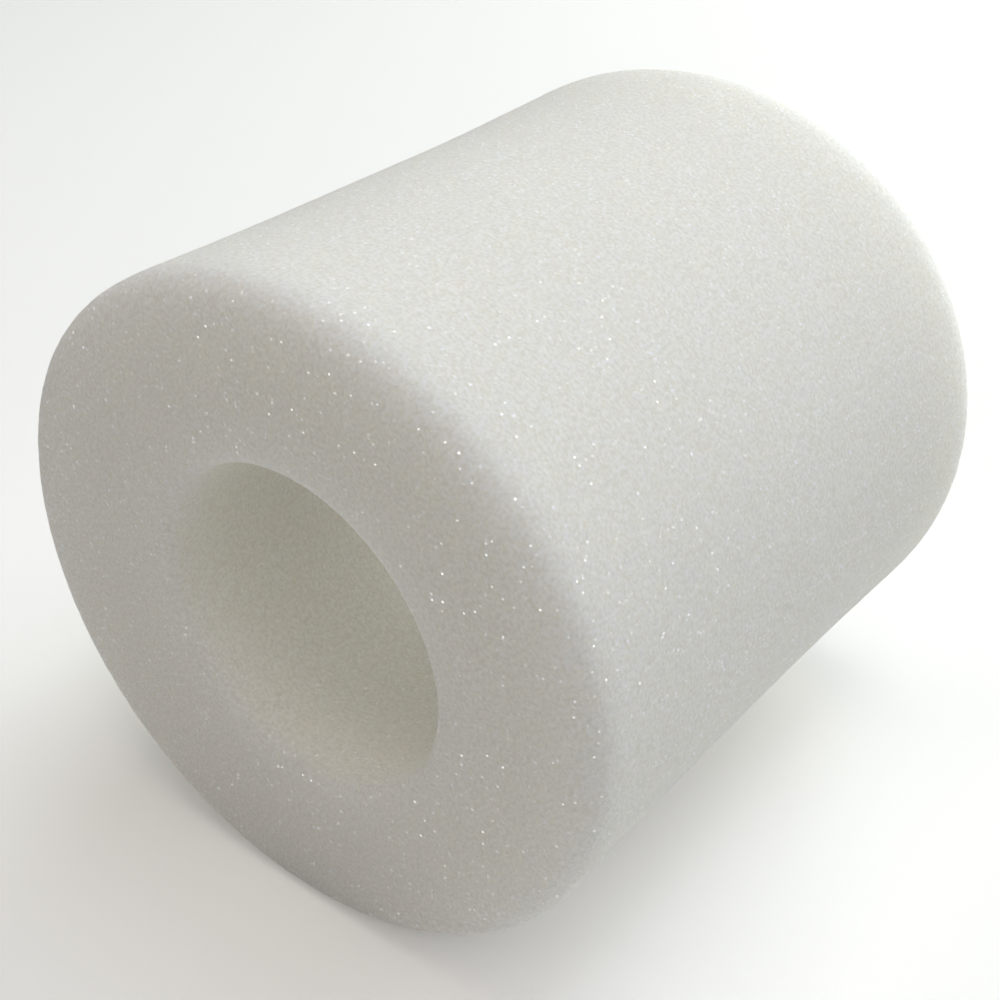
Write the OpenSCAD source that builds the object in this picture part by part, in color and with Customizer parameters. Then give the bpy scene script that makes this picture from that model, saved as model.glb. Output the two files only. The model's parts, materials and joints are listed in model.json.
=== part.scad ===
// Foam sleeve of a sponge filter, lying on its side: a thick tube of fine-celled
// foam whose bore slides over the filter's strainer tube.
// Millimetres. +Y runs along the bore from the front face to the back face and +Z is
// up. The origin lies under the middle of the sleeve, on the surface that it rests on.

/* [Sleeve] */
// Outer diameter at the two ends
sleeve_d = 100; // [70:1:150]
// Length from the front face to the back face
sleeve_len = 100; // [60:1:200]
// Depth of the waist, where cutting squeezed the block
waist_depth = 0.7; // [0.2:0.1:2]
// Rounding of the outer rims
rim_r = 4; // [1:0.5:5]

/* [Bore] */
// Diameter of the bore, which stretches over the strainer tube
bore_d = 47; // [20:1:50]
// Rounding of the two mouths of the bore
mouth_r = 2; // [0.5:0.5:3]

/* [Rest] */
// Depth of the flat that the foam settles into where it lies
rest_depth = 0.8; // [0.3:0.1:1.5]

/* [Hidden] */
slack = 1; // by how much cutting shapes run past what they cut
sleeve_r = sleeve_d / 2;
bore_r = bore_d / 2;
half_len = sleeve_len / 2;
wall = sleeve_r - bore_r;
half_side = half_len - rim_r;
half_bore = half_len - mouth_r;
axis_z = sleeve_r - rest_depth;
// The waist is one arc between the roundings of the two rims.
waist_arc_r = (half_side * half_side + waist_depth * waist_depth) / (2 * waist_depth);

module at_both_ends() {
    children();
    mirror([0, 1, 0]) children();
}

// Half section of the foam: x is the radius and y runs along the bore. Circles round
// its four corners, and one large circle takes out the waist.
module half_section() {
    difference() {
        union() {
            translate([bore_r + mouth_r, -half_len])
                square([wall - mouth_r - rim_r, sleeve_len]);
            translate([bore_r, -half_bore]) square([wall / 2, 2 * half_bore]);
            translate([bore_r + wall / 2, -half_side]) square([wall / 2, 2 * half_side]);
            at_both_ends() {
                translate([bore_r + mouth_r, half_bore]) circle(r = mouth_r, $fn = 64);
                translate([sleeve_r - rim_r, half_side]) circle(r = rim_r, $fn = 64);
            }
        }
        translate([sleeve_r - waist_depth + waist_arc_r, 0]) circle(r = waist_arc_r, $fn = 1440);
    }
}

// One revolve makes the foam, and a cut underneath makes the settled flat.
module foam_sleeve() {
    color("#dcdcd6")
        translate([0, 0, axis_z])
            difference() {
                rotate([-90, 0, 0]) rotate_extrude($fn = 180) half_section();
                translate([-sleeve_r, -half_len - slack, -axis_z - sleeve_r])
                    cube([sleeve_d, sleeve_len + 2 * slack, sleeve_r]);
            }
}

foam_sleeve();
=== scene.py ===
import json
import math
import bmesh
import bpy
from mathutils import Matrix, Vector, noise


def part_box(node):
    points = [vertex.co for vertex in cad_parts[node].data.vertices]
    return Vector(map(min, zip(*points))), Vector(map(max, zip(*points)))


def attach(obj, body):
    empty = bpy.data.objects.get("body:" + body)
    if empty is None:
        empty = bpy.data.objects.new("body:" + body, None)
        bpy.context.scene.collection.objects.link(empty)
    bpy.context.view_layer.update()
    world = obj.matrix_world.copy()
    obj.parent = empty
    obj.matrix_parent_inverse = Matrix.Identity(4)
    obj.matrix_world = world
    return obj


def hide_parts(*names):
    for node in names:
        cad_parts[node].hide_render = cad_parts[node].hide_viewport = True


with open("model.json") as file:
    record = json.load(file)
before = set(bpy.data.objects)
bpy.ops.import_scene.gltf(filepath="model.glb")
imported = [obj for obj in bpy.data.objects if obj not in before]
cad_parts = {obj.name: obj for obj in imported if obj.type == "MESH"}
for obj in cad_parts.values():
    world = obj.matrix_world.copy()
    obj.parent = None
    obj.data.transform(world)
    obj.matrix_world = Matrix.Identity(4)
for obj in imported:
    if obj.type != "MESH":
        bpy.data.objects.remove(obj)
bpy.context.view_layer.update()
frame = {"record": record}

mm = 0.001


def hexToLinear(code):
    channels = [int(code[i:i + 2], 16) / 255 for i in (1, 3, 5)]
    return [c / 12.92 if c <= 0.04045 else ((c + 0.055) / 1.055) ** 2.4 for c in channels] + [1.0]


def addNode(tree, kind, inputs=None, **settings):
    # Adds one node; an input is given either a value or another node's socket
    node = tree.nodes.new(kind)
    for name, value in settings.items():
        setattr(node, name, value)
    for key, value in (inputs or {}).items():
        if isinstance(value, bpy.types.NodeSocket):
            tree.links.new(value, node.inputs[key])
        else:
            node.inputs[key].default_value = value
    return node


def newMaterial(name, inputs):
    material = bpy.data.materials.new(name)
    material.use_nodes = True
    tree = material.node_tree
    tree.nodes.clear()
    shader = addNode(tree, "ShaderNodeBsdfPrincipled", inputs)
    addNode(tree, "ShaderNodeOutputMaterial", {"Surface": shader.outputs["BSDF"]})
    return material, tree, shader


def addObject(name, bm):
    mesh = bpy.data.meshes.new(name)
    bm.to_mesh(mesh)
    bm.free()
    piece = bpy.data.objects.new(name, mesh)
    bpy.context.scene.collection.objects.link(piece)
    return piece


view = {
    "azimuth": 38.4,  # degrees round from the front face towards +X
    "elevation": 33.3,  # degrees above the floor
    "distance": 236.5 * mm,
    "lens": 57.2,  # in mm, like the sensor
    "sensor": 36,
    "nearest": 10 * mm,
    "aim": (1.4 * mm, -5.0 * mm, 46.1 * mm),
}


def directionTo(turn, up):
    # A unit vector from the sleeve: turned from the front face towards +X, then up from the floor
    turn, up = math.radians(turn), math.radians(up)
    return Vector((math.sin(turn) * math.cos(up), -math.cos(turn) * math.cos(up), math.sin(up)))


def placeCamera():
    back = directionTo(view["azimuth"], view["elevation"])
    lens = bpy.data.cameras.new("camera")
    lens.lens = view["lens"]
    lens.sensor_width = view["sensor"]
    lens.clip_start = view["nearest"]
    camera = bpy.data.objects.new("camera", lens)
    camera.location = Vector(view["aim"]) + back * view["distance"]
    camera.rotation_euler = back.to_track_quat("Z", "Y").to_euler()
    bpy.context.scene.collection.objects.link(camera)
    bpy.context.scene.camera = camera


placeCamera()
print("camera placed")


boreMount = next(mount for mount in frame["record"]["mounts"] if mount["name"] == "bore")
low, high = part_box("foam_sleeve")

sleeve = {
    "outerRadius": (high[0] - low[0]) / 2,
    "halfLength": (high[1] - low[1]) / 2,
    "boreRadius": boreMount["dims"]["r_mm"] * mm,
    "axisHeight": boreMount["pos_m"][2],
    "rimRound": 4.0 * mm,  # the outer rims, worn soft
    "mouthRound": 2.0 * mm,  # the two mouths of the bore
    "waist": 0.7 * mm,  # how far the side dips half way along
    "outerOval": 0.023,  # out of round, as a share of the radius
    "outerOvalTurn": 12,  # degrees from +X of the long way across
    "boreOval": 0.004,
    "boreOvalTurn": 170,
    "boreShift": (2.9 * mm, 1.0 * mm),  # the bore is a little off centre
    "settle": 0.6 * mm,  # how far the underside beds down on the floor
    "settleBlend": 0.3 * mm,
    "lumpSize": 28 * mm,  # slow unevenness left by the cutting wire
    "lumpHeight": 0.18 * mm,
    "grainSize": 1.6 * mm,  # torn cells that stand up from the cut surface
    "grainHeight": 0.05 * mm,
    "aroundSteps": 84,
    "sideStep": 3.2 * mm,  # spacing of the rings on the side and the end faces
    "boreStep": 6.5 * mm,
    "cornerSteps": 3,
    "smoothLevels": 2,  # each level halves the mesh's spacing
}


def sleeveSection(bm):
    # A rectangle standing beside the bore's axis, with its corners rounded and its edges cut up
    inner, outer, half = sleeve["boreRadius"], sleeve["outerRadius"], sleeve["halfLength"]
    corners = [bm.verts.new((x, y, 0)) for x, y in
               ((inner, -half), (outer, -half), (outer, half), (inner, half))]
    bm.faces.new(corners)
    for pair, radius in ((corners[1:3], sleeve["rimRound"]),
                         ((corners[0], corners[3]), sleeve["mouthRound"])):
        bmesh.ops.bevel(bm, geom=list(pair), offset=radius, offset_type="OFFSET",
                        affect="VERTICES", segments=sleeve["cornerSteps"], profile=0.5, material=-1)
    bmesh.ops.delete(bm, geom=bm.faces[:], context="FACES_ONLY")
    for edge in bm.edges[:]:
        inBore = max(vert.co.x for vert in edge.verts) < inner + mm / 10
        step = sleeve["boreStep"] if inBore else sleeve["sideStep"]
        cuts = round(edge.calc_length() / step) - 1
        if cuts > 0:
            bmesh.ops.subdivide_edges(bm, edges=[edge], cuts=cuts)


def shapeVertex(co):
    # Pulls a point of the true sleeve to where the soft one has it
    radius = math.hypot(co.x, co.z)
    turn = math.atan2(co.z, co.x)
    wall = sleeve["outerRadius"] - sleeve["boreRadius"]
    outward = min(max((radius - sleeve["boreRadius"]) / wall, 0), 1)
    inward = 1 - outward
    along = co.y / sleeve["halfLength"]
    outerOval = sleeve["outerOval"] * math.cos(2 * (turn - math.radians(sleeve["outerOvalTurn"])))
    boreOval = sleeve["boreOval"] * math.cos(2 * (turn - math.radians(sleeve["boreOvalTurn"])))
    radius *= 1 + outward * outerOval + inward * boreOval
    radius -= outward * sleeve["waist"] * (1 - along * along)
    shiftX, shiftZ = sleeve["boreShift"]
    return Vector((radius * math.cos(turn) + inward * shiftX, co.y,
                   radius * math.sin(turn) + inward * shiftZ))


def roughen(bm):
    bm.normal_update()
    normals = [vert.normal.copy() for vert in bm.verts]
    for vert, normal in zip(bm.verts, normals):
        lump = noise.noise(vert.co / sleeve["lumpSize"])
        grain = noise.noise(vert.co / sleeve["grainSize"])
        vert.co += normal * (lump * sleeve["lumpHeight"] + grain * sleeve["grainHeight"])


def settleOnFloor(bm):
    lowest = min(vert.co.z for vert in bm.verts)
    blend = sleeve["settleBlend"]
    for vert in bm.verts:
        height = vert.co.z - lowest - sleeve["settle"]
        vert.co.z = (height + math.sqrt(height * height + blend * blend)) / 2


def smoothed(piece):
    # The piece's mesh with its subdivision worked out, and the coarse piece thrown away
    smooth = piece.modifiers.new("smooth", "SUBSURF")
    smooth.levels = smooth.render_levels = sleeve["smoothLevels"]
    bpy.context.view_layer.update()
    bm = bmesh.new()
    bm.from_object(piece, bpy.context.evaluated_depsgraph_get())
    coarse = piece.data
    bpy.data.objects.remove(piece)
    bpy.data.meshes.remove(coarse)
    return bm


def makeSleeve():
    bm = bmesh.new()
    sleeveSection(bm)
    bmesh.ops.spin(bm, geom=bm.verts[:] + bm.edges[:], cent=(0, 0, 0), axis=(0, 1, 0),
                   angle=2 * math.pi, steps=sleeve["aroundSteps"], use_merge=True)
    bmesh.ops.recalc_face_normals(bm, faces=bm.faces[:])
    for vert in bm.verts:
        vert.co = shapeVertex(vert.co)
    bm = smoothed(addObject("coarseSleeve", bm))
    roughen(bm)
    settleOnFloor(bm)
    for face in bm.faces:
        face.smooth = True
    return addObject("foamSleeve", bm)


foamSleeve = makeSleeve()
print("foam sleeve made:", len(foamSleeve.data.polygons), "faces")


# Open-cell polyurethane ether foam, cut and left raw: matt and chalky, so light soaks in and comes
# out softened, with painted pinprick glints: spots that glow by themselves, not lit cell windows.
foam = {
    "paleColour": "#fdfbf5",
    # The dim colour is painted shade for the gaps down among the struts
    "gapShadeColour": "#efece3",
    "grain": 0.5 * mm,  # spacing of the cut ends of the struts, 50 pores to the inch
    "grainHeight": 0.05 * mm,
    "grainLow": 0.3,  # the noise value at the bottom of a gap
    "grainHigh": 0.7,  # and at the tip of a strut
    "roughness": 0.9,
    "refraction": 1.45,
    "softening": 12 * mm,  # how far light wanders inside before it comes out
    "softeningByColour": (1.0, 0.95, 0.85),  # red wanders furthest
    # Painted glints: small spots on a random cell pattern that glow by themselves
    "paintedGlintSpacing": 0.8 * mm,
    "paintedGlintRadius": 0.2 * mm,
    "glintShare": 0.3,  # of the painted glint spots, how many glow
    "glintBrightness": 1.5,  # they glow by themselves and mirror no lamp
    "boreGlints": 0.15,  # how much of that brightness is left inside the bore
    "boreFade": 2.0 * mm,  # how far outside the bore it takes to come back in full
}


def foamMaterial():
    material, tree, shader = newMaterial("polyurethaneFoamCut", {
        "Roughness": foam["roughness"],
        "IOR": foam["refraction"],
        "Subsurface Weight": 1.0,
        "Subsurface Radius": foam["softeningByColour"],
        "Subsurface Scale": foam["softening"],
    })
    place = addNode(tree, "ShaderNodeTexCoord").outputs["Object"]

    # Random grain: strut tips stand up pale, the gaps between are painted dimmer as shade
    struts = addNode(tree, "ShaderNodeTexNoise",
                     {"Vector": place, "Scale": 1 / foam["grain"], "Detail": 1.0})
    height = addNode(tree, "ShaderNodeMapRange", {
        "Value": struts.outputs[0],
        "From Min": foam["grainLow"],
        "From Max": foam["grainHigh"],
    })
    relief = addNode(tree, "ShaderNodeBump",
                     {"Height": height.outputs["Result"], "Distance": foam["grainHeight"]})
    colour = addNode(tree, "ShaderNodeMix", {
        "Factor": height.outputs["Result"],
        6: hexToLinear(foam["gapShadeColour"]),
        7: hexToLinear(foam["paleColour"]),
    }, data_type="RGBA")

    # Painted glints: a random share of spots glow by themselves, each at a random brightness
    paintedGlintCells = addNode(tree, "ShaderNodeTexVoronoi",
                      {"Vector": place, "Scale": 1 / foam["paintedGlintSpacing"]})
    spot = addNode(tree, "ShaderNodeMapRange", {
        "Value": paintedGlintCells.outputs["Distance"],
        "From Min": foam["paintedGlintRadius"] / foam["paintedGlintSpacing"],
        "From Max": 0,
        "To Max": foam["glintBrightness"],
    })
    chance = addNode(tree, "ShaderNodeSeparateXYZ", {"Vector": paintedGlintCells.outputs["Color"]})
    paintedGlintChoice = addNode(tree, "ShaderNodeMapRange",
                     {"Value": chance.outputs["X"], "From Min": 1 - foam["glintShare"]})
    glint = addNode(tree, "ShaderNodeMath",
                    {0: spot.outputs["Result"], 1: paintedGlintChoice.outputs["Result"]},
                    operation="MULTIPLY")

    # Painted shade on the glints: inside the bore they glow dimmer
    shiftX, shiftZ = sleeve["boreShift"]
    fromAxis = addNode(tree, "ShaderNodeVectorMath",
                       {0: place, 1: (shiftX, 0, sleeve["axisHeight"] + shiftZ)},
                       operation="SUBTRACT")
    across = addNode(tree, "ShaderNodeVectorMath", {0: fromAxis.outputs["Vector"], 1: (1, 0, 1)},
                     operation="MULTIPLY")
    radius = addNode(tree, "ShaderNodeVectorMath", {0: across.outputs["Vector"]},
                     operation="LENGTH")
    reach = addNode(tree, "ShaderNodeMapRange", {
        "Value": radius.outputs["Value"],
        "From Min": sleeve["boreRadius"],
        "From Max": sleeve["boreRadius"] + foam["boreFade"],
        "To Min": foam["boreGlints"],
    })
    shine = addNode(tree, "ShaderNodeMath",
                    {0: glint.outputs["Value"], 1: reach.outputs["Result"]},
                    operation="MULTIPLY")
    tree.links.new(colour.outputs[2], shader.inputs["Base Color"])
    tree.links.new(relief.outputs["Normal"], shader.inputs["Normal"])
    tree.links.new(shine.outputs["Value"], shader.inputs["Emission Strength"])
    material.cycles.emission_sampling = "NONE"  # the glints light nothing round them
    return material


foamSleeve.data.materials.append(foamMaterial())
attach(foamSleeve, "root")
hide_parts("foam_sleeve")
print("foam finished")


studio = {
    "floorRadius": 2.0,
    "floorSides": 96,
    "paleColour": "#f8f8f6",
    "boardRoughness": 0.9,
    "floorGlow": 0.2,  # how much brighter the lit board looks than the light it casts
    "wallGlow": 0.9,  # the same for the pale walls all round
    "wallLight": 0.03,
    "lampDistance": 1.2,
}

# Soft boxes: degrees round from the front, degrees up, watts, width in metres, and colour.
# A least-squares fit to the wanted shading gave the watts and colours, trimmed since.
lamps = {
    "lampTop": (0, 90, 4.3, 0.8, "#fff7eb"),
    "lampTopRight": (135, 75, 1.9, 0.6, "#d5edff"),
    "lampBackHigh": (180, 55, 1.8, 0.8, "#d3e4ff"),
    "lampBackLow": (180, 20, 5.8, 0.8, "#fbffed"),
    "lampThroughBore": (157, 20, 4.3, 0.6, "#f5f6ff"),
    "lampFrontRight": (45, 55, 2.1, 0.6, "#fff8fa"),
    "lampFrontLeft": (315, 20, 1.3, 0.6, "#fff3ea"),
}


def seenFrom(tree, hidden, seen):
    # Gives one value to the light that a surface casts, and another to what the camera sees of it
    looked = addNode(tree, "ShaderNodeLightPath").outputs["Is Camera Ray"]
    value = addNode(tree, "ShaderNodeMapRange", {"Value": looked, "To Min": hidden, "To Max": seen})
    return value.outputs["Result"]


def makeFloor():
    bm = bmesh.new()
    bmesh.ops.create_circle(bm, cap_ends=True, radius=studio["floorRadius"],
                            segments=studio["floorSides"])
    floor = addObject("floor", bm)
    colour = hexToLinear(studio["paleColour"])
    material, tree, shader = newMaterial("opalBoard", {
        "Base Color": colour,
        "Roughness": studio["boardRoughness"],
        "Emission Color": colour,
    })
    tree.links.new(seenFrom(tree, 0, studio["floorGlow"]), shader.inputs["Emission Strength"])
    floor.data.materials.append(material)


def addLamp(name, turn, up, power, width, colour):
    back = directionTo(turn, up)
    light = bpy.data.lights.new(name, "AREA")
    light.size = width
    light.energy = power
    light.color = hexToLinear(colour)[:3]
    lamp = bpy.data.objects.new(name, light)
    lamp.location = Vector((0, 0, sleeve["axisHeight"])) + back * studio["lampDistance"]
    lamp.rotation_euler = back.to_track_quat("Z", "Y").to_euler()
    lamp.visible_camera = False
    bpy.context.scene.collection.objects.link(lamp)


def makeWalls():
    world = bpy.data.worlds.new("paleWalls")
    world.use_nodes = True
    tree = world.node_tree
    walls = tree.nodes["Background"]
    walls.inputs["Color"].default_value = hexToLinear(studio["paleColour"])
    tree.links.new(seenFrom(tree, studio["wallLight"], studio["wallGlow"]),
                   walls.inputs["Strength"])
    bpy.context.scene.world = world


makeFloor()
makeWalls()
for name, settings in lamps.items():
    addLamp(name, *settings)
bpy.context.scene.view_settings.view_transform = "Standard"
print("floor and light made")
